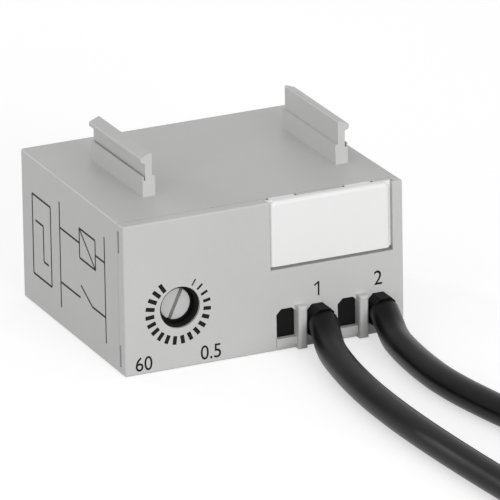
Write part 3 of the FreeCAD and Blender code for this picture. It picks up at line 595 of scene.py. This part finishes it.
class TIMER_OT_leads(bpy.types.Operator):
    """Lays the two connecting leads and finishes their ends"""
    bl_idname = "timer_module.leads"
    bl_label = "Leads"

    def execute(self, context):
        s = context.scene.timer_leads
        jacket = self.jacket(s)
        for number, (slot_x, route) in ROUTES.items():
            points = [Vector((slot_x + u, FRONT / MM - v, z)) * MM for u, v, z in route]
            curve = bpy.data.curves.new(f"lead_run_{number}", "CURVE")
            curve.dimensions = "3D"
            curve.resolution_u = 16
            curve.bevel_depth = s.diameter / 2
            curve.bevel_resolution = 10
            curve.use_fill_caps = True
            spline = curve.splines.new("NURBS")
            spline.points.add(len(points) - 1)
            for place, point in zip(spline.points, points):
                place.co = (*point, 1.0)
            spline.order_u = 3
            spline.use_endpoint_u = True
            spline.use_smooth = True
            curve.materials.append(jacket)
            lead = bpy.data.objects.new(f"lead_run_{number}", curve)
            context.scene.collection.objects.link(lead)
            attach(lead, "case")
            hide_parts(f"lead_{number}")
            dress(f"inner_lead_{number}", jacket)
        rubber = rubbery("grommet_rubber_and_slot_shade", (0.004, 0.004, 0.004))
        collar = glossy("ferrule_plastic", (0.012, 0.012, 0.012), 0.32)
        tin = tinned("ferrule_tin")
        for number in ROUTES:
            dress(f"lead_grommet_{number}", rubber)
            # The slot plugs take the grommets' dull black: a dark fill in the empty slots that
            # paints the shade deep inside them.
            dress(f"slot_plug_{number}", rubber)
            dress(f"ferrule_collar_{number}", collar)
            dress(f"ferrule_tube_{number}", tin)
        return {"FINISHED"}

    @staticmethod
    def jacket(s):
        """Glossy extruded jacket: fine draw lines and a little waviness."""
        f = Finish("lead_jacket")
        wave = f.noise(2.2 * MM, 2.0)
        fine = f.noise(0.2 * MM, 3.0)
        mixed = f.blend(wave, rgba(s.jacket_colour, 0.7), rgba(s.jacket_colour, 1.5))
        return f.surface(base_color=mixed, roughness=fine * 0.08 + (s.roughness - 0.04),
                         specular_ior_level=0.13,
                         normal=f.bump(wave * 0.8 + fine * 0.2, 0.12, 0.05 * MM))


# ---------------------------------------------------------------- electronics

class TIMER_OT_electronics(bpy.types.Operator):
    """Finishes the circuit board and the parts on it"""
    bl_idname = "timer_module.electronics"
    bl_label = "Electronics"

    def execute(self, context):
        tin = tinned("pin_tin")
        black = moulded("component_moulding", (0.02, 0.02, 0.021), 0.5, 0.1 * MM)
        finishes = {
            "circuit_board": solder_mask("board_mask"),
            "potentiometer_body": glossy("potentiometer_case", (0.02, 0.05, 0.2), 0.4),
            "potentiometer_rotor": moulded("rotor_nylon", (0.74, 0.72, 0.66), 0.42, 0.2 * MM),
            "potentiometer_pins": tin,
            "supply_capacitor": sleeve_with_stripe(
                "large_sleeve", (0.01, 0.012, 0.03), (0.45, 0.45, 0.47)),
            "timing_capacitor": sleeve_with_stripe(
                "small_sleeve", (0.03, 0.012, 0.012), (0.5, 0.45, 0.3)),
            "film_capacitor": glossy("film_box", (0.55, 0.28, 0.03), 0.35),
            "varistor": glossy("varistor_lacquer", (0.02, 0.08, 0.28), 0.3, 0.3, 0.4),
            "bridge_rectifier": black,
            "timer_chip": black,
            "timer_chip_legs": tin,
            "switching_thyristor": black,
            "thyristor_legs": tin,
            "power_resistor": moulded("resistor_cement", (0.26, 0.30, 0.24), 0.6, 0.2 * MM),
            "chip_resistors": black,
            "diodes": black,
            "lead_terminals": tin,
        }
        for node, material in finishes.items():
            dress(node, material)
        return {"FINISHED"}


# ---------------------------------------------------------------- stage

# Width and height of each lamp, and its place.
KEY_LAMP = ((0.36, 0.30), (0.04, -0.78, 0.20))
SIDE_LAMP = ((0.07, 0.5), (-0.62, -0.42, 0.16))
RIM_LAMP = ((0.05, 0.30), (-0.32, 0.60, 0.11))
LAMP_AIM = Vector((0, 0, 0.01))
FLOOR_HALF = 3.0
FLOOR_DROP = 0.05 * MM
FLOOR_GREY = (0.6, 0.6, 0.6, 1)
FLOOR_GLOW = 0.58
WHITE = (1, 1, 1, 1)
SENSOR = 36.0
VIEW_NEAR, VIEW_FAR = 0.05, 20.0


class TIMER_OT_stage(bpy.types.Operator):
    """Sets up the floor, the lamps, the surroundings and the camera"""
    bl_idname = "timer_module.stage"
    bl_label = "Stage"

    def execute(self, context):
        s = context.scene.timer_stage
        self.floor(context)
        self.surroundings(context, s)
        self.lamp(context, "key_lamp", s.key_power, *KEY_LAMP)
        self.lamp(context, "side_lamp", s.side_power, *SIDE_LAMP)
        self.lamp(context, "rim_lamp", s.rim_power, *RIM_LAMP)
        self.camera(context, s)
        context.scene.view_settings.view_transform = "Standard"
        return {"FINISHED"}

    @staticmethod
    def floor(context):
        mesh = bpy.data.meshes.new("floor")
        corners = [(x * FLOOR_HALF, y * FLOOR_HALF, 0)
                   for x, y in ((-1, -1), (1, -1), (1, 1), (-1, 1))]
        mesh.from_pydata(corners, [], [(0, 1, 2, 3)])
        made = bpy.data.objects.new("floor", mesh)
        context.scene.collection.objects.link(made)
        made.location.z = -FLOOR_DROP
        f = Finish("floor_paper")
        paper = f.node("ShaderNodeBsdfDiffuse", None, {"Color": FLOOR_GREY})
        glow = f.node("ShaderNodeEmission", None, {"Color": WHITE, "Strength": FLOOR_GLOW})
        both = f.node("ShaderNodeAddShader")
        f.feed(both.inputs[0], paper.outputs[0])
        f.feed(both.inputs[1], glow.outputs[0])
        f.ends_in(f.seen_directly(), paper, both)
        mesh.materials.append(f.material)

    @staticmethod
    def surroundings(context, s):
        world = bpy.data.worlds.new("studio")
        context.scene.world = world
        f = Finish("studio", world)
        soft = f.node("ShaderNodeBackground", None, {"Color": WHITE, "Strength": s.sky_level})
        white = f.node("ShaderNodeBackground", None, {"Color": WHITE, "Strength": 1.0})
        f.ends_in(f.seen_directly(), soft, white)

    @staticmethod
    def lamp(context, name, power, size, place):
        light = bpy.data.lights.new(name, "AREA")
        light.shape = "RECTANGLE"
        light.size, light.size_y = size
        light.energy = power
        made = bpy.data.objects.new(name, light)
        context.scene.collection.objects.link(made)
        made.location = place
        aim = LAMP_AIM - made.location
        made.rotation_euler = aim.to_track_quat("-Z", "Y").to_euler()

    @staticmethod
    def camera(context, s):
        flat = math.cos(s.elevation)
        back = Vector((-math.sin(s.azimuth) * flat, -math.cos(s.azimuth) * flat,
                       math.sin(s.elevation)))
        lens = bpy.data.cameras.new("camera")
        lens.lens = s.lens
        lens.sensor_width = SENSOR
        lens.clip_start = VIEW_NEAR
        lens.clip_end = VIEW_FAR
        made = bpy.data.objects.new("camera", lens)
        context.scene.collection.objects.link(made)
        turn = back.to_track_quat("Z", "Y") @ Quaternion((0, 0, 1), s.roll)
        made.matrix_world = (Matrix.Translation(Vector(s.aim) + back * s.distance)
                             @ turn.to_matrix().to_4x4())
        context.scene.camera = made


# ---------------------------------------------------------------- panel and run

STEPS = (TIMER_OT_stage, TIMER_OT_leads, TIMER_OT_case, TIMER_OT_marker, TIMER_OT_scale,
         TIMER_OT_digits, TIMER_OT_diagram, TIMER_OT_electronics)
SETTINGS = {"timer_case": CaseSettings, "timer_print": PrintSettings,
            "timer_leads": LeadSettings, "timer_stage": StageSettings}


class TIMER_PT_panel(bpy.types.Panel):
    """Lists the steps that finish the timer module"""
    bl_label = "Timer Module"
    bl_idname = "TIMER_PT_panel"
    bl_space_type = "VIEW_3D"
    bl_region_type = "UI"
    bl_category = "Timer Module"

    def draw(self, context):
        for step in STEPS:
            self.layout.operator(step.bl_idname)
        for name, group in SETTINGS.items():
            box = self.layout.box()
            for field in group.__annotations__:
                box.prop(getattr(context.scene, name), field)


CLASSES = tuple(SETTINGS.values()) + STEPS + (TIMER_PT_panel,)


def register():
    for made in CLASSES:
        bpy.utils.register_class(made)
    for name, group in SETTINGS.items():
        setattr(bpy.types.Scene, name, PointerProperty(type=group))


def unregister():
    for name in SETTINGS:
        delattr(bpy.types.Scene, name)
    for made in reversed(CLASSES):
        bpy.utils.unregister_class(made)


def main():
    register()
    bpy.ops.timer_module.stage()
    bpy.ops.timer_module.leads()
    bpy.ops.timer_module.case()
    bpy.ops.timer_module.marker()
    bpy.ops.timer_module.scale()
    bpy.ops.timer_module.digits()
    bpy.ops.timer_module.diagram()
    bpy.ops.timer_module.electronics()


if __name__ == "__main__":
    main()
